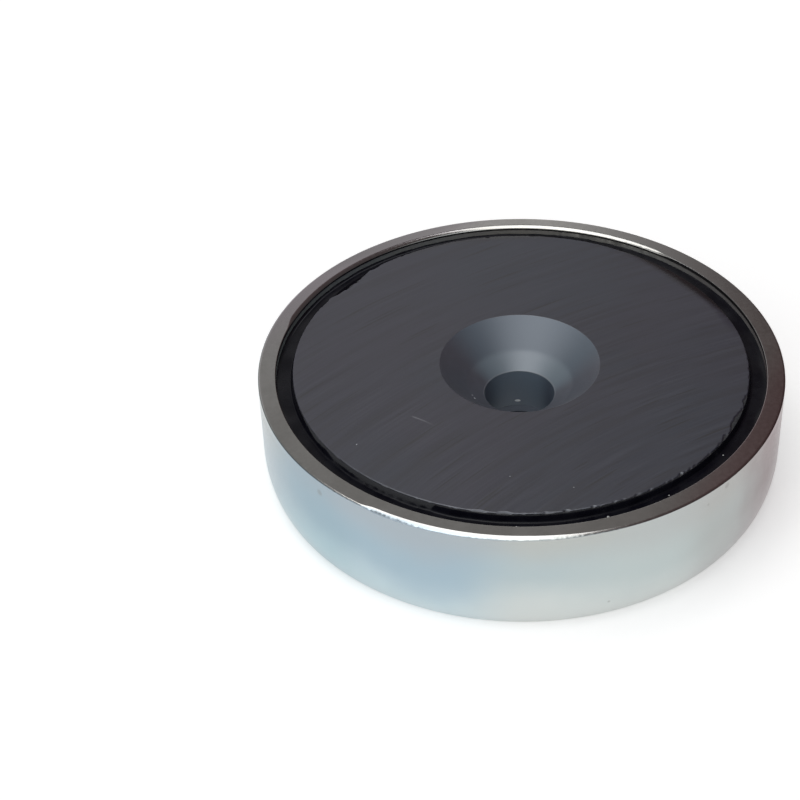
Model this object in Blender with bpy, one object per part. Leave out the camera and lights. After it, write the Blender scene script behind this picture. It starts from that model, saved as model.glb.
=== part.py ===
"""Ferrite pot magnet for retrieving steel, 63 mm across and 14 mm high, with a countersunk hole.

A thin-walled steel cup holds a ring of hard ferrite. Adhesive under the ring and black resin in
the gap around it fix the two together, so nothing moves. The steel rim and the ferrite face share
one plane, the pole face, and a countersunk M8 screw or an eye bolt passes through the middle.

The origin is on the axis, at the middle of the cup's back. +Z points out of the pole face.
"""

import math

import bmesh
import bpy

MM = 0.001

# How finely the turned shapes are cut.
SEGMENTS = 72
ROUND_STEPS = 4
WELD_DISTANCE = 0.01 * MM

# Glued faces stay this far apart, so that no two solids share a surface.
GLUE_GAP = 0.3 * MM

# Steel cup.
CUP_RADIUS = 31.5 * MM
CUP_HEIGHT = 14.0 * MM
CUP_WALL = 2.1 * MM
CUP_FLOOR = 3.0 * MM
FLOOR_FILLET = 1.2 * MM
RIM_OUTER_RADIUS = 0.6 * MM
RIM_INNER_RADIUS = 0.2 * MM

# The drawn corner at the foot is a quarter of an ellipse, taller than it is wide.
FOOT_WIDTH = 2.0 * MM
FOOT_HEIGHT = 4.4 * MM

# Hole through the middle, for an M8 countersunk screw.
HOLE_RADIUS = 4.25 * MM
HOLE_EDGE_CHAMFER = 0.3 * MM
COUNTERSINK_RADIUS = 9.6 * MM
COUNTERSINK_DEPTH = 4.6 * MM

# Ferrite ring.
FERRITE_RADIUS = 27.3 * MM
FERRITE_EDGE_CHAMFER = 0.25 * MM

# Adhesive under the ferrite, held back from the hole.
ADHESIVE_THICKNESS = 0.4 * MM
ADHESIVE_INNER_RADIUS = 6.0 * MM
ADHESIVE_OUTER_RADIUS = 26.4 * MM

# Black resin round the ferrite. Its surface dips between the two walls that it wets.
RESIN_EDGE_BELOW_RIM = 0.8 * MM
RESIN_SAG = 0.35 * MM
RESIN_FOOT_CHAMFER = 1.2 * MM

CUP_BORE_RADIUS = CUP_RADIUS - CUP_WALL
ADHESIVE_BOTTOM = CUP_FLOOR + GLUE_GAP
ADHESIVE_TOP = ADHESIVE_BOTTOM + ADHESIVE_THICKNESS
FERRITE_BOTTOM = ADHESIVE_TOP + GLUE_GAP


def clear_scene():
    for obj in list(bpy.data.objects):
        bpy.data.objects.remove(obj, do_unlink=True)


def make_material(name, colour, roughness, metallic):
    material = bpy.data.materials.new(name)
    material.use_nodes = True
    shader = material.node_tree.nodes["Principled BSDF"]
    shader.inputs["Base Color"].default_value = (*colour, 1.0)
    shader.inputs["Roughness"].default_value = roughness
    shader.inputs["Metallic"].default_value = metallic
    return material


def arc(centre, radii, start_degrees, end_degrees, steps=ROUND_STEPS):
    """Points (distance from the axis, height) along an elliptical arc, both ends included."""
    points = []
    for step in range(steps + 1):
        angle = math.radians(start_degrees + (end_degrees - start_degrees) * step / steps)
        across = centre[0] + radii[0] * math.cos(angle)
        height = centre[1] + radii[1] * math.sin(angle)
        points.append((across, height))
    return points


def round_arc(centre, radius, start_degrees, end_degrees):
    return arc(centre, (radius, radius), start_degrees, end_degrees)


def turn(name, outline, material):
    """A ring turned about Z from a closed outline, which runs down its outer side first."""
    mesh = bpy.data.meshes.new(name)
    shape = bmesh.new()
    corners = [shape.verts.new((across, 0.0, height)) for across, height in outline]
    for here, there in zip(corners, corners[1:] + corners[:1]):
        shape.edges.new((here, there))
    shape.to_mesh(mesh)
    shape.free()
    mesh.materials.append(material)

    ring = bpy.data.objects.new(name, mesh)
    bpy.context.scene.collection.objects.link(ring)
    screw = ring.modifiers.new("Turned", "SCREW")
    screw.axis = "Z"
    screw.angle = math.tau
    screw.steps = SEGMENTS
    screw.render_steps = SEGMENTS
    screw.use_smooth_shade = True
    screw.use_merge_vertices = True
    screw.merge_threshold = WELD_DISTANCE
    return ring


def cup_outline():
    outer_centre = (CUP_RADIUS - RIM_OUTER_RADIUS, CUP_HEIGHT - RIM_OUTER_RADIUS)
    outer_rim = round_arc(outer_centre, RIM_OUTER_RADIUS, 90, 0)
    foot_centre = (CUP_RADIUS - FOOT_WIDTH, FOOT_HEIGHT)
    foot = arc(foot_centre, (FOOT_WIDTH, FOOT_HEIGHT), 0, -90, 2 * ROUND_STEPS)
    hole = [
        (HOLE_RADIUS + HOLE_EDGE_CHAMFER, 0.0),
        (HOLE_RADIUS, HOLE_EDGE_CHAMFER),
        (HOLE_RADIUS, CUP_FLOOR),
    ]
    fillet_centre = (CUP_BORE_RADIUS - FLOOR_FILLET, CUP_FLOOR + FLOOR_FILLET)
    floor_corner = round_arc(fillet_centre, FLOOR_FILLET, -90, 0)
    inner_centre = (CUP_BORE_RADIUS + RIM_INNER_RADIUS, CUP_HEIGHT - RIM_INNER_RADIUS)
    inner_rim = round_arc(inner_centre, RIM_INNER_RADIUS, 180, 90)
    return outer_rim + foot + hole + floor_corner + inner_rim


def ferrite_outline():
    top = CUP_HEIGHT
    return [
        (FERRITE_RADIUS - FERRITE_EDGE_CHAMFER, top),
        (FERRITE_RADIUS, top - FERRITE_EDGE_CHAMFER),
        (FERRITE_RADIUS, FERRITE_BOTTOM + FERRITE_EDGE_CHAMFER),
        (FERRITE_RADIUS - FERRITE_EDGE_CHAMFER, FERRITE_BOTTOM),
        (HOLE_RADIUS, FERRITE_BOTTOM),
        (HOLE_RADIUS, top - COUNTERSINK_DEPTH),
        (COUNTERSINK_RADIUS, top),
    ]


def adhesive_outline():
    return [
        (ADHESIVE_OUTER_RADIUS, ADHESIVE_TOP),
        (ADHESIVE_OUTER_RADIUS, ADHESIVE_BOTTOM),
        (ADHESIVE_INNER_RADIUS, ADHESIVE_BOTTOM),
        (ADHESIVE_INNER_RADIUS, ADHESIVE_TOP),
    ]


def resin_outline():
    inner = FERRITE_RADIUS + GLUE_GAP
    outer = CUP_BORE_RADIUS - GLUE_GAP
    bottom = CUP_FLOOR + GLUE_GAP
    edge = CUP_HEIGHT - RESIN_EDGE_BELOW_RIM
    surface = []
    for step in range(2 * ROUND_STEPS + 1):
        share = step / (2 * ROUND_STEPS)
        dip = RESIN_SAG * math.sin(math.pi * share)
        surface.append((inner + (outer - inner) * share, edge - dip))
    foot = [
        (outer, bottom + RESIN_FOOT_CHAMFER),
        (outer - RESIN_FOOT_CHAMFER, bottom),
        (inner, bottom),
    ]
    return foot + surface


def build():
    clear_scene()
    zinc = make_material("zinc_plated_steel", (0.60, 0.62, 0.61), 0.28, 1.0)
    ferrite = make_material("ground_ferrite", (0.075, 0.073, 0.080), 0.45, 0.0)
    resin = make_material("black_resin", (0.010, 0.010, 0.012), 0.15, 0.0)
    adhesive = make_material("cured_adhesive", (0.30, 0.24, 0.13), 0.40, 0.0)

    turn("steel_cup", cup_outline(), zinc)
    turn("ferrite_ring", ferrite_outline(), ferrite)
    turn("epoxy_fill", resin_outline(), resin)
    turn("adhesive_layer", adhesive_outline(), adhesive)


build()
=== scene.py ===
"""Looks of a ferrite pot magnet with a countersunk hole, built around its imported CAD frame.

Four turned pieces replace the four plain CAD solids: the zinc-plated cup with its worn rim, the
ground ferrite ring with its chipped edge, the black resin round it and the glue under it. Sizes are
in millimetres, and the main ones are read from the frame. Azimuth is counted from +X towards +Y.
"""

import math

import bpy
import numpy as np
from mathutils import Matrix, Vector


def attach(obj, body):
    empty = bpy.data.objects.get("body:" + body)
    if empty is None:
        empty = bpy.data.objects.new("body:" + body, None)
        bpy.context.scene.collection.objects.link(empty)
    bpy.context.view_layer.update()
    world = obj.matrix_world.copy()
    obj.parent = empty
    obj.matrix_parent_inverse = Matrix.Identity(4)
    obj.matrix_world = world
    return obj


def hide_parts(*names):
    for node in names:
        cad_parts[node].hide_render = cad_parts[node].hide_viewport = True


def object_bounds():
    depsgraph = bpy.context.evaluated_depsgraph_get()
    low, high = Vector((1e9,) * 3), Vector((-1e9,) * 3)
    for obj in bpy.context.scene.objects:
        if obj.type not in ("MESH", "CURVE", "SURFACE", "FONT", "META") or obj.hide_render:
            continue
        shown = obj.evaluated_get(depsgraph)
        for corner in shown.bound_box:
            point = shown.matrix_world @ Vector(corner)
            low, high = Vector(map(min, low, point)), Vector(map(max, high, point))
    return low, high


MM = 0.001

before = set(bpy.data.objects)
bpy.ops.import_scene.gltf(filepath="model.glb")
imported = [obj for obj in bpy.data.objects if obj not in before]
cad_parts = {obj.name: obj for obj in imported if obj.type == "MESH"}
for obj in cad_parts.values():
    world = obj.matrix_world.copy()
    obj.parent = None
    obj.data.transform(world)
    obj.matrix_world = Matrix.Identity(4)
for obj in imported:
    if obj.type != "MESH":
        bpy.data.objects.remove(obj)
CAD_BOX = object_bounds()


# ---------------------------------------------------------------- sizes from the frame


def corners_of(node):
    """Distance from the axis and height of every corner of a turned CAD node, in millimetres."""
    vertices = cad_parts[node].data.vertices
    points = np.array([tuple(vertex.co) for vertex in vertices]) / MM
    return np.hypot(points[:, 0], points[:, 1]), points[:, 2]


CLOSE = 0.02

cup_radii, cup_heights = corners_of("steel_cup")
ferrite_radii, ferrite_heights = corners_of("ferrite_ring")
resin_radii, _ = corners_of("epoxy_fill")
glue_radii, glue_heights = corners_of("adhesive_layer")

CUP_RADIUS = cup_radii.max()
TOP = cup_heights.max()
HOLE_RADIUS = ferrite_radii.min()
FERRITE_RADIUS = ferrite_radii.max()
FERRITE_BOTTOM = ferrite_heights.min()
COUNTERSINK_RADIUS = ferrite_radii[ferrite_heights > TOP - CLOSE].min()
COUNTERSINK_FLOOR = ferrite_heights[ferrite_radii < HOLE_RADIUS + CLOSE].max()

# The CAD solids stand a little apart where they are glued, and the finished pieces meet.
GLUE_GAP = resin_radii.min() - FERRITE_RADIUS
CUP_BORE = resin_radii.max() + GLUE_GAP
CUP_FLOOR = glue_heights.min() - GLUE_GAP
GLUE_OUTER = glue_radii.max()
BACK_FLAT = cup_radii[cup_heights < CLOSE].max()


# ---------------------------------------------------------------- mesh helpers


def arc(centre, radii, start, end, steps):
    """Points (distance from the axis, height) along an elliptical arc, angles in degrees."""
    angles = np.radians(np.linspace(start, end, steps + 1))
    return [(centre[0] + radii[0] * math.cos(a), centre[1] + radii[1] * math.sin(a)) for a in angles]


def straight(start, end, steps):
    """Points along a straight line, without its two ends."""
    shares = np.linspace(0, 1, steps + 1)[1:-1]
    return [tuple(np.array(start) + (np.array(end) - np.array(start)) * share) for share in shares]


def turned(name, outline, segments, shaped=None):
    """A closed ring turned from an outline that runs down its outer side, shaded smooth.

    shaped(radius, height, azimuth) may move the points, and gets one row for each outline point.
    """
    outline = np.array(outline)
    azimuth = np.linspace(0, math.tau, segments, endpoint=False)[None, :]
    radius = np.repeat(outline[:, :1], segments, axis=1)
    height = np.repeat(outline[:, 1:], segments, axis=1)
    if shaped:
        radius, height = shaped(radius, height, azimuth)
    points = np.stack([radius * np.cos(azimuth), radius * np.sin(azimuth), height], axis=-1) * MM

    index = np.arange(points.shape[0] * segments).reshape(-1, segments)
    below, beside = np.roll(index, -1, axis=0), np.roll(index, -1, axis=1)
    across = np.roll(below, -1, axis=1)
    quads = np.stack([index, below, across, beside], axis=-1).reshape(-1, 4)

    mesh = bpy.data.meshes.new(name)
    mesh.from_pydata(points.reshape(-1, 3).tolist(), [], quads.tolist())
    mesh.shade_smooth()
    piece = bpy.data.objects.new(name, mesh)
    bpy.context.scene.collection.objects.link(piece)
    return piece


WAVES_TRIED = 60


def ripple(azimuth, slowest, fastest, seed):
    """Smooth seeded noise round the ring, from -1 to 1 or a little more, in waves per turn."""
    random = np.random.default_rng(seed)
    waves = np.unique(np.geomspace(slowest, fastest, WAVES_TRIED).astype(int))
    total = np.zeros_like(azimuth)
    for wave in waves:
        total = total + np.sin(wave * azimuth + random.uniform(0, math.tau))
    return total * math.sqrt(2 / len(waves)) / 1.6


def away(azimuth, degrees):
    """Degrees between each azimuth and a given one, the short way round."""
    return np.abs((np.degrees(azimuth) - degrees + 180) % 360 - 180)


def spread(azimuth, degrees, half_width, soft):
    """1 within half_width degrees of an azimuth, falling smoothly to 0 over the next soft degrees."""
    share = np.clip((half_width + soft - away(azimuth, degrees)) / soft, 0, 1)
    return share * share * (3 - 2 * share)


# ---------------------------------------------------------------- steel cup

CUP_SEGMENTS = 1440

# An extra ring this far from a sharp corner keeps smooth shading from bleeding round it.
EDGE_SUPPORT = 0.05

# The rim's worn edges: width, slope in degrees at each share of the way down, and narrowest share.
WORN_SHARES = (0, 0.1, 0.8, 1)
WORN_STEPS = 20
RIM_OUTER_WIDTH = 0.66
RIM_OUTER_SLOPES = (0, 16, 36, 90)
RIM_OUTER_NARROWEST = 0.42
RIM_INNER_WIDTH = 0.52
RIM_INNER_SLOPES = (0, 13, 38, 90)
RIM_INNER_NARROWEST = 0.12

# Where they are wide, nicked or burred: middle azimuth, half-width and softness in degrees.
OUTER_WIDE_AT = ((253, 16, 4), (264, 4, 23))
INNER_WIDE_AT = (105, 54, 6)
BURR_AT = (258, 30, 8)
NICKS_AT = (66, 12, 6)
BURR_HEIGHT = 0.016

FOOT_WIDTH = CUP_RADIUS - BACK_FLAT
FOOT_HEIGHT = 4.4
FLOOR_FILLET = 1.2
HOLE_EDGE = 0.3

# The back is dished a little inside its outer band.
BACK_DISH = 0.06
BACK_BAND = 2.0
BACK_DISH_SLOPE = 8.0


def worn_edge(width, degrees):
    """How far along and down the points of a worn edge lie: a broad slope, then a quick turn down."""
    slopes = np.radians(np.interp(np.linspace(0, 1, WORN_STEPS), WORN_SHARES, degrees))
    along, down = np.cumsum(np.cos(slopes)), np.cumsum(np.sin(slopes))
    return [(0.0, 0.0)] + list(zip(along * width / along[-1], down * width / along[-1]))


OUTER_EDGE = worn_edge(RIM_OUTER_WIDTH, RIM_OUTER_SLOPES)
INNER_EDGE = worn_edge(RIM_INNER_WIDTH, RIM_INNER_SLOPES)
RIM_OUTER_DEPTH = OUTER_EDGE[-1][1]
RIM_INNER_DEPTH = INNER_EDGE[-1][1]


def cup_outline():
    outer_rim = [(CUP_RADIUS - RIM_OUTER_WIDTH + along, TOP - down) for along, down in OUTER_EDGE]
    side = straight(outer_rim[-1], (CUP_RADIUS, FOOT_HEIGHT), 14)
    foot = arc((BACK_FLAT, FOOT_HEIGHT), (FOOT_WIDTH, FOOT_HEIGHT), 0, -90, 24)
    hole_edge = arc((HOLE_RADIUS + HOLE_EDGE, HOLE_EDGE), (HOLE_EDGE, HOLE_EDGE), -90, -180, 6)
    back = straight(foot[-1], hole_edge[0], 24)
    hole_wall = straight(hole_edge[-1], (HOLE_RADIUS, CUP_FLOOR), 30) + [(HOLE_RADIUS, CUP_FLOOR)]
    beside_hole = [(HOLE_RADIUS + EDGE_SUPPORT, CUP_FLOOR)]
    fillet = (CUP_BORE - FLOOR_FILLET, CUP_FLOOR + FLOOR_FILLET)
    floor_corner = arc(fillet, (FLOOR_FILLET, FLOOR_FILLET), -90, 0, 6)
    inner_rim = [(CUP_BORE + RIM_INNER_WIDTH - along, TOP - down) for along, down in INNER_EDGE[::-1]]
    wall = straight(floor_corner[-1], inner_rim[0], 8)
    flat = straight(inner_rim[-1], outer_rim[0], 8)
    hole = hole_edge + hole_wall + beside_hole
    return outer_rim + side + foot + back + hole + floor_corner + wall + inner_rim + flat


def worn_cup(radius, height, azimuth):
    """Gives the rim's outer edge a burr and its inner edge nicks, narrows both, and dishes the back."""
    outer_edge = (height > TOP - RIM_OUTER_DEPTH - CLOSE) * (radius > CUP_RADIUS - RIM_OUTER_WIDTH - CLOSE)
    inner_edge = (height > TOP - RIM_INNER_DEPTH - CLOSE) * (radius < CUP_BORE + RIM_INNER_WIDTH + CLOSE)

    low_on_edge = np.sin(math.pi * np.clip((TOP - height) / RIM_OUTER_DEPTH, 0, 1) ** 1.5)
    roughly = 0.4 + ripple(azimuth, 40, 420, 11) + 0.6 * ripple(azimuth, 15, 60, 12)
    burr = spread(azimuth, *BURR_AT) * roughly
    lump = BURR_HEIGHT * low_on_edge * burr * outer_edge
    nicks = ripple(azimuth, 40, 260, 13) * spread(azimuth, *NICKS_AT)
    radius = radius + 0.8 * BURR_HEIGHT * nicks * inner_edge * (height > TOP - RIM_INNER_DEPTH + CLOSE)

    inner_share = RIM_INNER_NARROWEST + (1 - RIM_INNER_NARROWEST) * spread(azimuth, *INNER_WIDE_AT)
    widest_in_front = np.maximum.reduce([spread(azimuth, *place) for place in OUTER_WIDE_AT])
    outer_share = RIM_OUTER_NARROWEST + (1 - RIM_OUTER_NARROWEST) * widest_in_front
    radius = np.where(inner_edge, CUP_BORE + (radius - CUP_BORE) * inner_share, radius)
    radius = np.where(outer_edge, CUP_RADIUS - (CUP_RADIUS - radius) * outer_share - lump, radius)
    share = np.where(inner_edge, inner_share, np.where(outer_edge, outer_share, 1.0))
    height = np.where(inner_edge | outer_edge, TOP - (TOP - height) * share, height)

    dish = np.clip((BACK_FLAT - BACK_BAND - radius) / BACK_DISH_SLOPE, 0, 1) * (height < CLOSE)
    height = height + BACK_DISH * dish * dish * (3 - 2 * dish)
    return radius, height


# ---------------------------------------------------------------- ferrite ring

FERRITE_SEGMENTS = 1440
FACE_EDGE_ROUND = 0.035
BORE_EDGE_ROUND = 0.12
SMALLEST_EDGE_BREAK = 0.07

# The mesh is fine in this border of the face, and down the side to this depth.
FINE_BORDER = 1.6
FINE_SIDE = 2.4

# The countersink is a little flatter near the bore, from this radius and depth inwards.
COUNTERSINK_BEND = 6.4
COUNTERSINK_BEND_DEPTH = 3.1

# Chips in the outer edge: azimuth and half-width in degrees, and how far in they reach.
CHIPS = (
    (140.6, 8.5, 0.85),
    (130.5, 2.4, 0.26),
    (151.0, 3.0, 0.24),
    (96.3, 0.8, 0.32),
    (258.0, 2.6, 0.22),
    (264.0, 2.2, 0.30),
    (278.3, 0.9, 0.34),
    (308.8, 0.6, 0.30),
    (326.8, 1.7, 0.42),
    (334.0, 5.0, 0.55),
    (342.0, 2.2, 0.36),
)

# Where the edge is ragged: middle azimuth, half-width and softness in degrees, and depth.
RAGGED = (
    (333, 20, 12, 0.13),
    (292, 18, 10, 0.08),
    (118, 34, 20, 0.06),
)

# Where the edge is worn round: middle azimuth, half-width and softness, and how deep and wide it is.
WORN_AT = (38, 18, 14)
WORN_DEPTH = 0.14
WORN_WIDTH = 1.3


def edge_break(azimuth):
    """How far in the outer edge is broken away."""
    depth = SMALLEST_EDGE_BREAK + 0.02 * ripple(azimuth, 30, 400, 21)
    teeth = np.clip(ripple(azimuth, 50, 240, 22), 0, None)
    for degrees, half_width, soft, reach in RAGGED:
        depth = depth + reach * teeth * spread(azimuth, degrees, half_width, soft)
    jag = 1 + 0.12 * ripple(azimuth, 60, 200, 23)
    for degrees, half_width, reach in CHIPS:
        near = np.clip(1 - (away(azimuth, degrees) / half_width) ** 2, 0, 1)
        depth = np.maximum(depth, reach * near * jag)
    return np.clip(depth, 0.02, None)


def ferrite_outline():
    edge = (FERRITE_RADIUS, TOP)
    fine_to = (FERRITE_RADIUS, TOP - FINE_SIDE)
    side = [edge] + straight(edge, fine_to, 30) + [fine_to, (FERRITE_RADIUS, FERRITE_BOTTOM)]
    corner_top = (HOLE_RADIUS, FERRITE_BOTTOM + FACE_EDGE_ROUND)
    bottom = [(HOLE_RADIUS + FACE_EDGE_ROUND, FERRITE_BOTTOM), corner_top]

    lip = (HOLE_RADIUS + BORE_EDGE_ROUND, COUNTERSINK_FLOOR - BORE_EDGE_ROUND)
    bore_edge = arc(lip, (BORE_EDGE_ROUND, BORE_EDGE_ROUND), 180, 125, 6)
    above_bottom = (HOLE_RADIUS, FERRITE_BOTTOM + FACE_EDGE_ROUND + EDGE_SUPPORT)
    bore = [above_bottom] + straight(above_bottom, bore_edge[0], 10)
    rim = (COUNTERSINK_RADIUS - FACE_EDGE_ROUND, TOP - FACE_EDGE_ROUND)
    below_rim = (rim[0] - EDGE_SUPPORT, rim[1] - EDGE_SUPPORT)
    bend = (COUNTERSINK_BEND, TOP - COUNTERSINK_BEND_DEPTH)
    cone = straight(bore_edge[-1], bend, 12) + [bend] + straight(bend, below_rim, 16) + [below_rim, rim]
    face_start = (COUNTERSINK_RADIUS, TOP)
    beside_start = (COUNTERSINK_RADIUS + EDGE_SUPPORT, TOP)
    fine_from = (FERRITE_RADIUS - FINE_BORDER, TOP)
    face = [face_start, beside_start] + straight(beside_start, fine_from, 16)
    near_edge = [fine_from] + straight(fine_from, edge, 40)
    return side + bottom + bore + bore_edge + cone + face + near_edge


def chipped_ferrite(radius, height, azimuth):
    """Breaks the outer edge along a rough bevel, and wears it round over one stretch."""
    depth = edge_break(azimuth)
    facets = 1.0 + 0.15 * ripple(azimuth, 60, 240, 24)
    outside = radius - (FERRITE_RADIUS - depth)
    height = np.where(outside > 0, np.minimum(height, TOP - facets * outside), height)

    worn = WORN_DEPTH * spread(azimuth, *WORN_AT)
    share = np.clip((radius - (FERRITE_RADIUS - WORN_WIDTH)) / WORN_WIDTH, 0, 1)
    near_top = np.clip((height - (TOP - FINE_SIDE)) / FINE_SIDE, 0, 1)
    return radius, height - worn * share * share * near_top


# ---------------------------------------------------------------- black resin

RESIN_SEGMENTS = 1080
RESIN_ROWS = 32

# The surface lies this deep, creeps up the steel and coats the ferrite's side almost to the face.
RESIN_DEPTH = 1.15
CLIMB_ON_STEEL = 0.08
MENISCUS_ON_STEEL = 0.2
COATED_TO = 0.24
COAT_THICKNESS = 0.07

# Resin and glue stay this far inside the walls that they wet, so that no two faces coincide.
RESIN_SKIN = 0.02
RESIN_BOTTOM_CORNER = 1.2

# Pale grit stuck in the resin: azimuth, distance from the axis and size.
GRIT = (
    (287.6, 28.2, 0.13),
    (266.8, 28.2, 0.07),
    (303.4, 28.2, 0.07),
    (323.0, 28.0, 0.08),
    (241.5, 28.6, 0.05),
)

# Between these azimuths the resin stops about this much lower on the ferrite's side. The bare patch
# begins gradually and ends abruptly, over so many degrees.
BARE_FROM, BARE_TO = 199, 247.5
BARE_DEPTH = 0.62
BARE_BEGINS_OVER, BARE_ENDS_OVER = 12, 0.8


def resin_outline():
    inner = FERRITE_RADIUS + RESIN_SKIN
    bottom = CUP_FLOOR + RESIN_SKIN
    foot = [
        (CUP_BORE - RESIN_SKIN, bottom + RESIN_BOTTOM_CORNER),
        (CUP_BORE - RESIN_SKIN - RESIN_BOTTOM_CORNER, bottom),
        (inner, bottom),
    ]
    shares = 0.5 - 0.5 * np.cos(np.linspace(0, math.pi, RESIN_ROWS))
    return foot + [(inner + (CUP_BORE - RESIN_SKIN - inner) * share, TOP) for share in shares]


def bare_depth(azimuth):
    """How far below the face the resin stops on the ferrite's side."""
    degrees = np.degrees(azimuth) % 360
    begun = np.clip((degrees - BARE_FROM) / BARE_BEGINS_OVER, 0, 1)
    inside = begun * np.clip((BARE_TO - degrees) / BARE_ENDS_OVER, 0, 1)
    edge = BARE_DEPTH + 0.18 * ripple(azimuth, 5, 40, 31) + 0.07 * ripple(azimuth, 40, 200, 32)
    return COATED_TO + 0.02 * ripple(azimuth, 30, 200, 33) + inside * edge


def poured_resin(radius, height, azimuth):
    """The surface lies low between the walls, coats the ferrite's side and creeps up the steel."""
    inner, outer = FERRITE_RADIUS + RESIN_SKIN, CUP_BORE - RESIN_SKIN
    on_ferrite = bare_depth(azimuth)
    on_steel = RESIN_DEPTH - CLIMB_ON_STEEL + 0.04 * ripple(azimuth, 8, 60, 34)
    middle = np.maximum(RESIN_DEPTH + 0.04 * ripple(azimuth, 5, 40, 35), on_ferrite + 0.05)
    near_ferrite = np.exp(-((radius - inner) / (2.2 * COAT_THICKNESS)) ** 2)
    near_steel = np.exp(-(outer - radius) / MENISCUS_ON_STEEL)
    depth = middle - (middle - on_ferrite) * near_ferrite - (middle - on_steel) * near_steel
    for degrees, distance, size in GRIT:
        beside = np.hypot(radius - distance, np.radians(away(azimuth, degrees)) * distance)
        depth = depth - size * np.clip(1.3 - beside / size, 0, 1) ** 0.5
    return radius, np.where(height > TOP - CLOSE, TOP - depth, height)


# ---------------------------------------------------------------- glue under the ferrite

GLUE_SEGMENTS = 360


def glue_outline():
    """A thin film, squeezed out until it is flush with the hole."""
    low, high = CUP_FLOOR + RESIN_SKIN, FERRITE_BOTTOM - RESIN_SKIN
    flush = HOLE_RADIUS + RESIN_SKIN
    inner = [(flush, low)] + straight((flush, low), (flush, high), 20) + [(flush, high)]
    beside = flush + EDGE_SUPPORT
    return [(beside, high), (GLUE_OUTER, high), (GLUE_OUTER, low), (beside, low)] + inner


# ---------------------------------------------------------------- materials


class Nodes:
    """A node tree, with a short way to add and link its nodes."""

    def __init__(self, owner):
        owner.use_nodes = True
        self.tree = owner.node_tree
        self.tree.nodes.clear()

    def add(self, kind, **settings):
        node = self.tree.nodes.new(kind)
        for setting, value in settings.items():
            setattr(node, setting, value)
        return node

    def plug(self, socket, value):
        """Links a socket to an output, or sets its value."""
        if isinstance(value, bpy.types.NodeSocket):
            self.tree.links.new(value, socket)
        elif socket.type == "RGBA":
            socket.default_value = (*value, 1.0)
        else:
            socket.default_value = value

    def fill(self, node, *values):
        for socket, value in zip([socket for socket in node.inputs if socket.enabled], values):
            self.plug(socket, value)
        return [socket for socket in node.outputs if socket.enabled][0]

    def maths(self, operation, *values):
        return self.fill(self.add("ShaderNodeMath", operation=operation), *values)

    def plus(self, first, second):
        return self.maths("ADD", first, second)

    def times(self, first, second):
        return self.maths("MULTIPLY", first, second)

    def ramp(self, value, low, high, to_low=0.0, to_high=1.0):
        """Maps low..high smoothly to to_low..to_high, and holds the ends."""
        node = self.add("ShaderNodeMapRange", interpolation_type="SMOOTHSTEP")
        return self.fill(node, value, low, high, to_low, to_high)

    def mix(self, share, first, second):
        return self.fill(self.add("ShaderNodeMix", data_type="RGBA"), share, first, second)

    def noise(self, vector, scale, detail=3.0, roughness=0.5):
        node = self.add("ShaderNodeTexNoise")
        return self.fill(node, vector, scale, detail, roughness)

    def vector(self, *parts):
        return self.fill(self.add("ShaderNodeCombineXYZ"), *parts)

    def place(self):
        return self.add("ShaderNodeTexCoord").outputs["Object"]

    def axes(self, vector, scale=1.0):
        parts = self.add("ShaderNodeSeparateXYZ")
        self.plug(parts.inputs[0], vector)
        return [self.times(output, scale) for output in parts.outputs]

    def length(self, x, y):
        return self.maths("SQRT", self.plus(self.times(x, x), self.times(y, y)))

    def towards(self, x, y, degrees):
        """How far out a point lies in the direction of an azimuth."""
        angle = math.radians(degrees)
        return self.plus(self.times(x, math.cos(angle)), self.times(y, math.sin(angle)))

    def near(self, axes, centre, size):
        """1 within about a given distance of a point, falling to 0 soon after."""
        from_x, from_y, from_z = [self.plus(axis, -middle) for axis, middle in zip(axes, centre)]
        distance = self.length(self.length(from_x, from_y), from_z)
        return self.ramp(distance, 0.7 * size, 1.2 * size, 1.0, 0.0)

    def bump(self, height, distance, strength=1.0, under=None):
        node = self.add("ShaderNodeBump")
        node.inputs["Strength"].default_value = strength
        node.inputs["Distance"].default_value = distance * MM
        self.plug(node.inputs["Height"], height)
        if under:
            self.plug(node.inputs["Normal"], under)
        return node.outputs[0]

    def surface(self, **inputs):
        shader = self.add("ShaderNodeBsdfPrincipled")
        for name, value in inputs.items():
            self.plug(shader.inputs[name.replace("_", " ")], value)
        self.plug(self.add("ShaderNodeOutputMaterial").inputs["Surface"], shader.outputs[0])


# The wheel that ground the face left arcs round this point, in millimetres.
GRINDING_CENTRE = (59.0, -85.0)

# A light scratch on the face, part of a circle: centre, radius and half-width, and where it runs in x.
SCRATCH_CENTRE = (-22.8, -27.4)
SCRATCH_RADIUS = 20.05
SCRATCH_HALF_WIDTH = 0.10
SCRATCH_FROM, SCRATCH_BRIGHT, SCRATCH_TO = -13.3, -12.5, -10.0

# Pale specks on the ferrite: x, y, depth below the face and size.
SPECKS = (
    (-19.3, -14.8, 0.0, 0.06),
    (5.0, -23.1, 0.0, 0.05),
    (-5.5, -2.6, 3.35, 0.12),
    (-5.8, -2.0, 3.35, 0.10),
    (-2.0, -21.0, 0.0, 0.05),
)

# A painted highlight: a short pale dash low on the far wall of the hole, where a glint shows: x, y and
# height.
GLINT = (-0.02, 4.22, 4.72)

# A painted sheen lies on the back of the countersink, at this azimuth, and most below its bend.
SHEEN_TOWARDS = 75
COUNTERSINK_BEND_AT = TOP - COUNTERSINK_BEND_DEPTH

# Black resin smeared thinly over the face, beyond a chord across it: azimuth and distance of the chord.
SMEARS = (
    (37.0, 25.3),
    (92.0, 25.9),
    (111.0, 26.2),
)
SMEAR_FADE = 1.4


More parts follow.
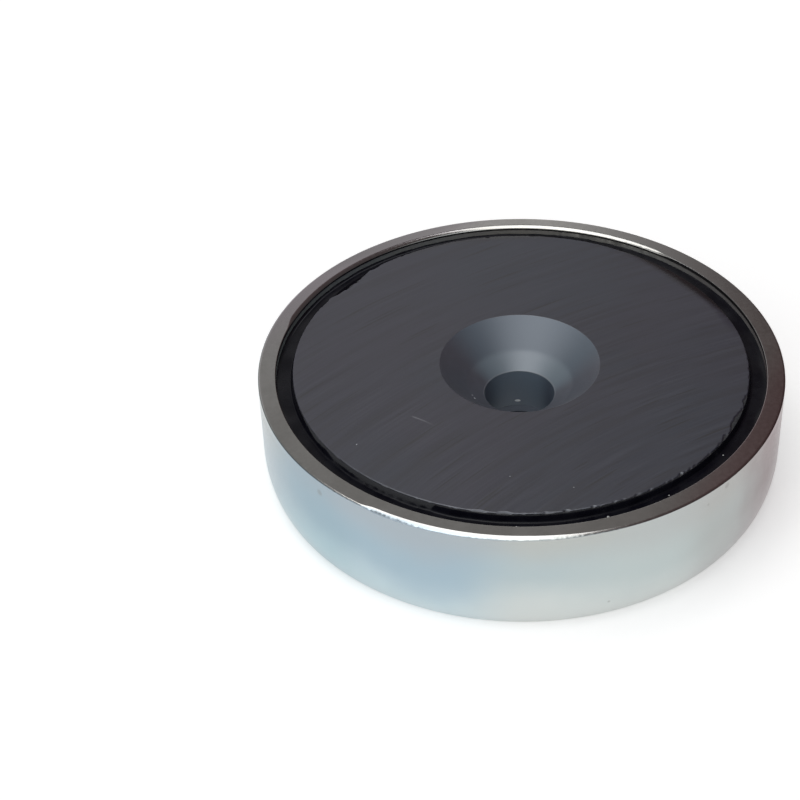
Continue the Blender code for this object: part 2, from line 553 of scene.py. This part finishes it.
def ground_colour(n, place, x, y, fine, broad, scores):
    """Nearly black, with paler and darker grinding marks and one light scratch."""
    tone = n.noise(place, 45.0, 2.0)
    ground = n.mix(n.ramp(tone, 0.35, 0.65), (0.0120, 0.0110, 0.0240), (0.0075, 0.0120, 0.0245))
    ground = n.mix(n.ramp(fine, 0.38, 0.72, 0.0, 0.62), ground, (0.034, 0.036, 0.052))
    ground = n.mix(n.ramp(broad, 0.35, 0.55, 0.5, 0.0), ground, (0.004, 0.004, 0.010))
    ground = n.mix(n.times(scores, 0.9), ground, (0.0, 0.0, 0.002))
    from_centre = n.length(n.plus(x, -SCRATCH_CENTRE[0]), n.plus(y, -SCRATCH_CENTRE[1]))
    off_arc = n.maths("ABSOLUTE", n.plus(from_centre, -SCRATCH_RADIUS))
    line = n.ramp(off_arc, 0.2 * SCRATCH_HALF_WIDTH, 1.8 * SCRATCH_HALF_WIDTH, 0.36, 0.0)
    begun = n.ramp(x, SCRATCH_FROM, SCRATCH_BRIGHT)
    before_end = n.ramp(x, SCRATCH_BRIGHT, SCRATCH_TO, 1.0, 0.0)
    return n.mix(n.times(line, n.times(begun, before_end)), ground, (0.30, 0.30, 0.32))


def moulded_colour(n, place, x, y, z, radius):
    """The countersink and the hole: grey, with a painted sheen at the back, a painted highlight on the lip
    where they meet, and the far wall of the hole painted lighter.
    """
    # Painted sheen: the back of the countersink is lighter and bluer, most of all below its bend.
    back_sheen = n.ramp(n.maths("DIVIDE", n.towards(x, y, SHEEN_TOWARDS), radius), 0.1, 0.65)
    sheen_below_bend = n.times(back_sheen, n.ramp(z, COUNTERSINK_BEND_AT - 0.4, COUNTERSINK_BEND_AT + 0.4, 1.0, 0.0))
    mottle = n.ramp(n.noise(place, 900.0, 3.0), 0.35, 0.7)
    moulded = n.mix(mottle, (0.058, 0.060, 0.076), (0.064, 0.067, 0.084))
    moulded = n.mix(back_sheen, moulded, (0.074, 0.098, 0.124))
    moulded = n.mix(sheen_below_bend, moulded, (0.112, 0.146, 0.172))
    # Painted highlight: a paler lip where the countersink meets the hole.
    off_lip = n.maths("ABSOLUTE", n.plus(z, -COUNTERSINK_FLOOR + 0.03))
    moulded = n.mix(n.ramp(off_lip, 0.03, 0.10, 0.45, 0.0), moulded, (0.20, 0.21, 0.23))
    # In the hole, painted light: the far wall is painted lighter than the near walls.
    in_hole = n.ramp(z, COUNTERSINK_FLOOR - 0.3, COUNTERSINK_FLOOR - 0.1, 1.0, 0.0)
    behind = n.ramp(n.maths("DIVIDE", y, radius), 0.45, 0.90)
    return n.mix(in_hole, moulded, n.mix(behind, (0.070, 0.088, 0.120), (0.127, 0.165, 0.209)))


def ferrite_marks(n, x, y, z, colour):
    """Adds the resin smears, the specks and the painted highlight in the hole, and says where the smears
    are.
    """
    smeared = 0.0
    for degrees, chord in SMEARS:
        smear = n.ramp(n.towards(x, y, degrees), chord, chord + SMEAR_FADE, 0.0, 0.95)
        colour = n.mix(smear, colour, (0.0, 0.0, 0.001))
        smeared = n.maths("MAXIMUM", smeared, smear)
    for speck_x, speck_y, depth, size in SPECKS:
        colour = n.mix(n.near((x, y, z), (speck_x, speck_y, TOP - depth), size), colour, (0.75, 0.77, 0.80))
    # Painted highlight: a near-white dash where a glint shows on the far wall of the hole.
    off_glint = n.length(n.times(n.plus(x, -GLINT[0]), 0.45), n.plus(z, -GLINT[2]))
    glint = n.times(n.ramp(off_glint, 0.12, 0.20, 1.0, 0.0), n.ramp(n.plus(y, -GLINT[1]), -0.6, -0.3))
    return n.mix(glint, colour, (0.95, 0.96, 0.97)), smeared


def ferrite_material():
    """Ground dark ferrite with arcs of grinding marks, and a smoother moulded countersink and hole."""
    material = bpy.data.materials.new("ground_ferrite")
    n = Nodes(material)
    place = n.place()
    x, y, z = n.axes(place, 1 / MM)
    radius = n.length(x, y)
    on_face = n.times(n.ramp(z, TOP - 0.20, TOP - 0.14),
                      n.ramp(radius, COUNTERSINK_RADIUS - 0.02, COUNTERSINK_RADIUS + 0.04))

    from_x, from_y = n.plus(x, -GRINDING_CENTRE[0]), n.plus(y, -GRINDING_CENTRE[1])
    reach, turn = n.length(from_x, from_y), n.maths("ARCTAN2", from_y, from_x)

    def grinding(lines_per_mm, lines_per_radian, detail, roughness=0.6):
        along = n.vector(n.times(reach, lines_per_mm), n.times(turn, lines_per_radian), 0.0)
        return n.noise(along, 1.0, detail, roughness)

    fine = grinding(5.5, 7.0, 4.0, 0.65)
    broad = grinding(0.8, 4.0, 2.0)
    scores = n.ramp(grinding(2.2, 7.0, 1.0), 0.29, 0.36, 1.0, 0.0)
    grain = n.noise(place, 9000.0, 2.0)

    ground = ground_colour(n, place, x, y, fine, broad, scores)
    moulded = moulded_colour(n, place, x, y, z, radius)
    at_edge = n.ramp(radius, FERRITE_RADIUS - 1.4, FERRITE_RADIUS - 1.2)
    broken = n.times(n.ramp(z, TOP - 0.14, TOP - 0.07, 1.0, 0.0), at_edge)
    colour = n.mix(broken, n.mix(on_face, moulded, ground), (0.010, 0.010, 0.012))
    colour, smeared = ferrite_marks(n, x, y, z, colour)

    rough_face = n.ramp(fine, 0.25, 0.75, 0.37, 0.45)
    rough_moulded = n.plus(n.ramp(grain, 0.3, 0.7, 0.40, 0.46), n.times(broken, 0.5))
    extra_on_face = n.maths("SUBTRACT", rough_face, rough_moulded)
    roughness = n.maths("MULTIPLY_ADD", on_face, extra_on_face, rough_moulded)
    roughness = n.plus(roughness, n.times(n.times(smeared, on_face), -0.20))
    lines = n.times(n.maths("SUBTRACT", fine, n.times(scores, 0.5)), on_face)
    normal = n.bump(lines, 0.006, 0.55, n.bump(grain, 0.004, 0.2))
    n.surface(Base_Color=colour, Roughness=roughness, Normal=normal, IOR=2.15,
              Specular_Tint=(0.95, 0.96, 1.0))
    return material


# Tints round the cup's side, mostly of the passivated plating, with the dark reddish band near the rim at 70
# degrees painted reflection:
# degrees round from the front, positive towards +X, and the colours near the rim, halfway down and at the
# foot. The first and the last meet behind.
PLATING_AND_REFLECTION = (
    (-180, (0.52, 0.50, 0.46), (0.49, 0.54, 0.55), (0.58, 0.62, 0.61)),
    (-130, (0.46, 0.50, 0.51), (0.42, 0.50, 0.56), (0.54, 0.61, 0.63)),
    (-82, (0.43, 0.49, 0.47), (0.37, 0.46, 0.49), (0.43, 0.54, 0.57)),
    (-50, (0.333, 0.415, 0.465), (0.31, 0.42, 0.48), (0.415, 0.54, 0.575)),
    (-25, (0.39, 0.445, 0.485), (0.365, 0.47, 0.535), (0.54, 0.63, 0.655)),
    (0, (0.475, 0.495, 0.475), (0.445, 0.52, 0.535), (0.605, 0.635, 0.62)),
    (28, (0.465, 0.495, 0.49), (0.485, 0.545, 0.54), (0.61, 0.65, 0.635)),
    (50, (0.43, 0.435, 0.42), (0.43, 0.46, 0.45), (0.51, 0.53, 0.52)),
    # Painted reflection: the dark reddish band near the rim here stands in for red surroundings.
    (70, (0.225, 0.158, 0.16), (0.25, 0.20, 0.198), (0.46, 0.43, 0.43)),
    (110, (0.42, 0.40, 0.39), (0.43, 0.47, 0.49), (0.52, 0.57, 0.58)),
    (150, (0.50, 0.49, 0.46), (0.43, 0.51, 0.56), (0.54, 0.60, 0.61)),
    (180, (0.52, 0.50, 0.46), (0.49, 0.54, 0.55), (0.58, 0.62, 0.61)),
)

# Small grey smudges on the side: azimuth, height and size.
SMUDGES = (
    (222.0, 12.3, 0.42),
    (314.5, 13.2, 0.40),
    (309.0, 12.2, 0.18),
    (286.0, 3.2, 0.20),
    (62.0, 9.0, 0.40),
    (128.0, 5.0, 0.30),
)

# Faint tints on the turned rim, painted reflection of its surroundings, darker in places and reddish at the
# right: azimuth, where along it they begin, and colour.
RIM_REFLECTION_TINTS = (
    (135, 22.0, (0.560, 0.520, 0.550)),
    (118, 28.0, (0.450, 0.430, 0.445)),
    (45, 25.0, (0.470, 0.470, 0.465)),
    (332, 25.0, (0.500, 0.405, 0.405)),
)

# How far the tints' borders wander: in degrees round the side, and in height.
TINT_WANDER = 36.0
TINT_LIFT = 8.0


def plating_and_reflection_tint(n, place, x, y, z):
    """The side's colour, plating tints with some painted reflection: soft upright bands that shade into each
    other, with wavy borders.
    """
    drift = n.add("ShaderNodeTexNoise")
    n.fill(drift, place, 60.0, 3.0, 0.5)
    wander, lift, _ = n.axes(drift.outputs["Color"])
    turn = n.maths("ARCTAN2", x, n.times(y, -1.0))
    turn = n.plus(n.times(turn, 180 / math.pi), n.plus(n.times(wander, TINT_WANDER), -TINT_WANDER / 2))
    height = n.plus(z, n.plus(n.times(lift, TINT_LIFT), -TINT_LIFT / 2))
    rows = list(PLATING_AND_REFLECTION[0][1:])
    for (before, *_), (degrees, *tints) in zip(PLATING_AND_REFLECTION, PLATING_AND_REFLECTION[1:]):
        share = n.ramp(turn, before, degrees)
        rows = [n.mix(share, row, tint) for row, tint in zip(rows, tints)]
    rim_row, middle_row, foot_row = rows
    side = n.mix(n.ramp(height, 1.5, 8.0), foot_row, middle_row)
    return n.mix(n.ramp(height, 8.0, 13.5), side, rim_row)


def rim_colour(n, place, x, y):
    """The turned rim: mottled bare grey, with faint painted reflection tints on each side."""
    worn = n.noise(place, 260.0, 4.0)
    rim = n.mix(n.ramp(worn, 0.35, 0.65), (0.520, 0.515, 0.50), (0.575, 0.57, 0.555))
    # Painted reflection: each tint darkens or reddens the rim where it mirrors dim or red surroundings.
    for degrees, start, tint in RIM_REFLECTION_TINTS:
        rim = n.mix(n.ramp(n.towards(x, y, degrees), start, CUP_RADIUS - 1.0), rim, tint)
    return rim


def zinc_material():
    """Satin zinc plate with cloudy blue, cream and pink tints on its side, partly painted reflection, a
    turned rim with painted reflection tints, and its hole wall painted dark as shade.
    """
    material = bpy.data.materials.new("zinc_plated_steel")
    n = Nodes(material)
    place = n.place()
    x, y, z = n.axes(place, 1 / MM)
    radius = n.length(x, y)
    side = plating_and_reflection_tint(n, place, x, y, z)
    for degrees, height, size in SMUDGES:
        angle = math.radians(degrees)
        centre = (CUP_RADIUS * math.cos(angle), CUP_RADIUS * math.sin(angle), height)
        side = n.mix(n.times(n.near((x, y, z), centre, size), 0.3), side, (0.20, 0.19, 0.17))

    on_rim = n.ramp(z, TOP - 0.10, TOP - 0.02)
    # Painted shade: the hole's wall is dark grey because the hole lies in shade.
    in_hole = n.ramp(radius, HOLE_RADIUS + 0.1, HOLE_RADIUS + 0.4, 1.0, 0.0)
    colour = n.mix(in_hole, n.mix(on_rim, side, rim_colour(n, place, x, y)), (0.15, 0.17, 0.20))

    grain = n.noise(place, 2200.0, 3.0)
    near_rim = n.ramp(z, TOP - 1.0, TOP - 0.6, 0.0, -0.07)
    on_wall = n.times(n.ramp(radius, CUP_BORE + 0.02, CUP_BORE + 0.08, 1.0, 0.0),
                      n.ramp(z, TOP - 0.60, TOP - 0.40, 1.0, 0.0))
    roughness = n.plus(n.plus(n.ramp(grain, 0.3, 0.7, 0.22, 0.27), near_rim), n.times(in_hole, 0.35))
    roughness = n.plus(roughness, n.times(on_wall, 0.48))

    rings = n.noise(n.vector(n.times(radius, 5.0), 0.0, 0.0), 1.0, 2.0)
    on_flat = n.ramp(z, TOP - 0.015, TOP - 0.003)
    normal = n.bump(n.times(rings, on_flat), 0.003, 0.15, n.bump(grain, 0.003, 0.08))
    n.surface(Base_Color=colour, Metallic=1.0, Roughness=roughness, Normal=normal,
              Specular_Tint=(0.88, 0.86, 0.87))
    return material


# A painted highlight: a pale line on the resin beside the steel, over a stretch of the back, where its
# meniscus catches light: azimuth and distance off.
HIGHLIGHT_LINE_TOWARDS = 128
HIGHLIGHT_LINE_FROM_STEEL = 0.4


def resin_material():
    """Black casting resin with slight waves, a little pale grit and a painted highlight line beside the
    steel.
    """
    material = bpy.data.materials.new("black_resin")
    n = Nodes(material)
    place = n.place()
    x, y, z = n.axes(place, 1 / MM)
    waves = n.noise(place, 500.0, 2.0)
    colour = n.mix(n.ramp(waves, 0.3, 0.7), (0.0032, 0.0032, 0.0062), (0.0058, 0.0058, 0.0095))
    for degrees, distance, size in GRIT:
        angle = math.radians(degrees)
        centre = (distance * math.cos(angle), distance * math.sin(angle), TOP - RESIN_DEPTH + size)
        colour = n.mix(n.near((x, y, z), centre, 1.3 * size), colour, (0.62, 0.62, 0.60))
    # Painted highlight: a pale line on the resin along the steel, at the back.
    toward_highlight_line = n.towards(x, y, HIGHLIGHT_LINE_TOWARDS)
    off_highlight_line = n.maths("ABSOLUTE", n.plus(n.length(x, y), HIGHLIGHT_LINE_FROM_STEEL - CUP_BORE))
    highlight_line = n.times(n.ramp(off_highlight_line, 0.02, 0.12, 0.9, 0.0), n.ramp(toward_highlight_line, 22.0, 26.0))
    colour = n.mix(highlight_line, colour, (0.050, 0.049, 0.055))
    n.surface(Base_Color=colour, Roughness=n.ramp(waves, 0.3, 0.7, 0.20, 0.32),
              Normal=n.bump(waves, 0.02, 0.5), IOR=1.3)
    return material


def glue_material():
    """Cured glue, hidden under the ferrite except for its edge in the hole, which is as grey as the wall."""
    material = bpy.data.materials.new("cured_adhesive")
    n = Nodes(material)
    cloud = n.noise(n.place(), 800.0, 3.0)
    colour = n.mix(n.ramp(cloud, 0.35, 0.65), (0.165, 0.190, 0.237), (0.185, 0.210, 0.260))
    n.surface(Base_Color=colour, Roughness=n.ramp(cloud, 0.3, 0.7, 0.3, 0.45),
              Normal=n.bump(cloud, 0.02, 0.4))
    return material


# ---------------------------------------------------------------- pieces


def fit_piece(piece, material, node):
    piece.data.materials.append(material)
    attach(piece, "root")
    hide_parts(node)


def build_pieces():
    cup = turned("cup_shell", cup_outline(), CUP_SEGMENTS, worn_cup)
    fit_piece(cup, zinc_material(), "steel_cup")
    ring = turned("magnet_ring", ferrite_outline(), FERRITE_SEGMENTS, chipped_ferrite)
    fit_piece(ring, ferrite_material(), "ferrite_ring")
    resin = turned("resin_ring", resin_outline(), RESIN_SEGMENTS, poured_resin)
    fit_piece(resin, resin_material(), "epoxy_fill")
    glue = turned("glue_film", glue_outline(), GLUE_SEGMENTS)
    fit_piece(glue, glue_material(), "adhesive_layer")


# ---------------------------------------------------------------- camera, floor and light

# The camera looks down at the pole face from the front: place in metres, angles in degrees, and lens
# in millimetres on a sensor 36 mm wide.
CAMERA_PLACE = (-0.00886, -0.18655, 0.15663)
CAMERA_DOWN = 38.42
CAMERA_HEADING = -1.753
CAMERA_ROLL = -2.442
LENS = 87.77
SENSOR_WIDTH = 36.0
NEAREST = 0.01

# The floor, in metres.
FLOOR_SIZE = 4.0
FLOOR_DROP = 0.0001

# The paper glows a little to look white, but not under the hole, in millimetres from the axis.
PAPER_GLOW = 0.37
DARK_WITHIN = 7.0
WHITE_BEYOND = 10.0

# A soft light overhead, which points straight down: place and size in metres, and power in watts.
STRIP_PLACE = (-0.165, 0.03, 1.0)
STRIP_SIZE = (0.69, 0.86)
STRIP_POWER = 3.77


def make_camera():
    data = bpy.data.cameras.new("camera")
    data.lens = LENS
    data.sensor_width = SENSOR_WIDTH
    data.clip_start = NEAREST
    camera = bpy.data.objects.new("camera", data)
    bpy.context.scene.collection.objects.link(camera)
    heading = Matrix.Rotation(math.radians(-CAMERA_HEADING), 4, "Z")
    tilt = Matrix.Rotation(math.radians(90 - CAMERA_DOWN), 4, "X")
    roll = Matrix.Rotation(math.radians(CAMERA_ROLL), 4, "Z")
    camera.matrix_world = Matrix.Translation(CAMERA_PLACE) @ heading @ tilt @ roll
    bpy.context.scene.camera = camera


def make_floor():
    half = FLOOR_SIZE / 2
    low = CAD_BOX[0][2] - FLOOR_DROP
    mesh = bpy.data.meshes.new("floor")
    mesh.from_pydata([(-half, -half, low), (half, -half, low), (half, half, low), (-half, half, low)],
                     [], [(0, 1, 2, 3)])
    floor = bpy.data.objects.new("floor", mesh)
    bpy.context.scene.collection.objects.link(floor)
    paper = bpy.data.materials.new("white_paper")
    n = Nodes(paper)
    x, y, _ = n.axes(n.place(), 1 / MM)
    glow = n.mix(n.ramp(n.length(x, y), DARK_WITHIN, WHITE_BEYOND), (0.0, 0.0, 0.0), (1.0, 1.0, 1.0))
    n.surface(Base_Color=(0.93, 0.92, 0.905), Roughness=1.0, Specular_IOR_Level=0.0,
              Emission_Color=glow, Emission_Strength=PAPER_GLOW)
    mesh.materials.append(paper)


def make_strip():
    data = bpy.data.lights.new("overhead_strip", "AREA")
    data.shape = "RECTANGLE"
    data.size, data.size_y = STRIP_SIZE
    data.energy = STRIP_POWER
    light = bpy.data.objects.new("overhead_strip", data)
    light.location = STRIP_PLACE
    bpy.context.scene.collection.objects.link(light)


def make_world():
    """Soft light: bright in front, a pale backdrop low behind, and dim high up and to the sides."""
    world = bpy.data.worlds.new("studio")
    bpy.context.scene.world = world
    n = Nodes(world)
    x, y, z = n.axes(n.add("ShaderNodeTexCoord").outputs["Generated"])
    low = n.mix(n.ramp(x, -0.06, 0.03), (0.47, 0.46, 0.47), (0.72, 0.71, 0.70))
    behind = n.mix(n.ramp(z, 0.50, 0.64), low, (0.225, 0.22, 0.215))
    behind = n.mix(n.ramp(x, 0.04, 0.18), behind, (0.085, 0.062, 0.062))
    behind = n.mix(n.ramp(x, -0.80, -0.55, 1.0, 0.0), behind, (0.20, 0.195, 0.19))
    front = n.mix(n.ramp(z, 0.3, 0.8), (1.0, 1.0, 1.0), (1.0, 1.07, 1.14))
    facing = n.plus(n.plus(y, n.times(n.maths("ABSOLUTE", x), 0.2)), n.times(x, 0.25))
    facing = n.plus(facing, n.times(n.maths("MINIMUM", x, 0.0), 0.35))
    colour = n.mix(n.ramp(facing, -0.65, 0.0, 1.0, 0.0), behind, front)
    background = n.add("ShaderNodeBackground")
    n.plug(background.inputs["Color"], colour)
    n.plug(n.add("ShaderNodeOutputWorld").inputs["Surface"], background.outputs[0])


def make_studio():
    make_world()
    make_floor()
    make_strip()
    bpy.context.scene.view_settings.view_transform = "Standard"


def main():
    make_camera()
    build_pieces()
    make_studio()


main()
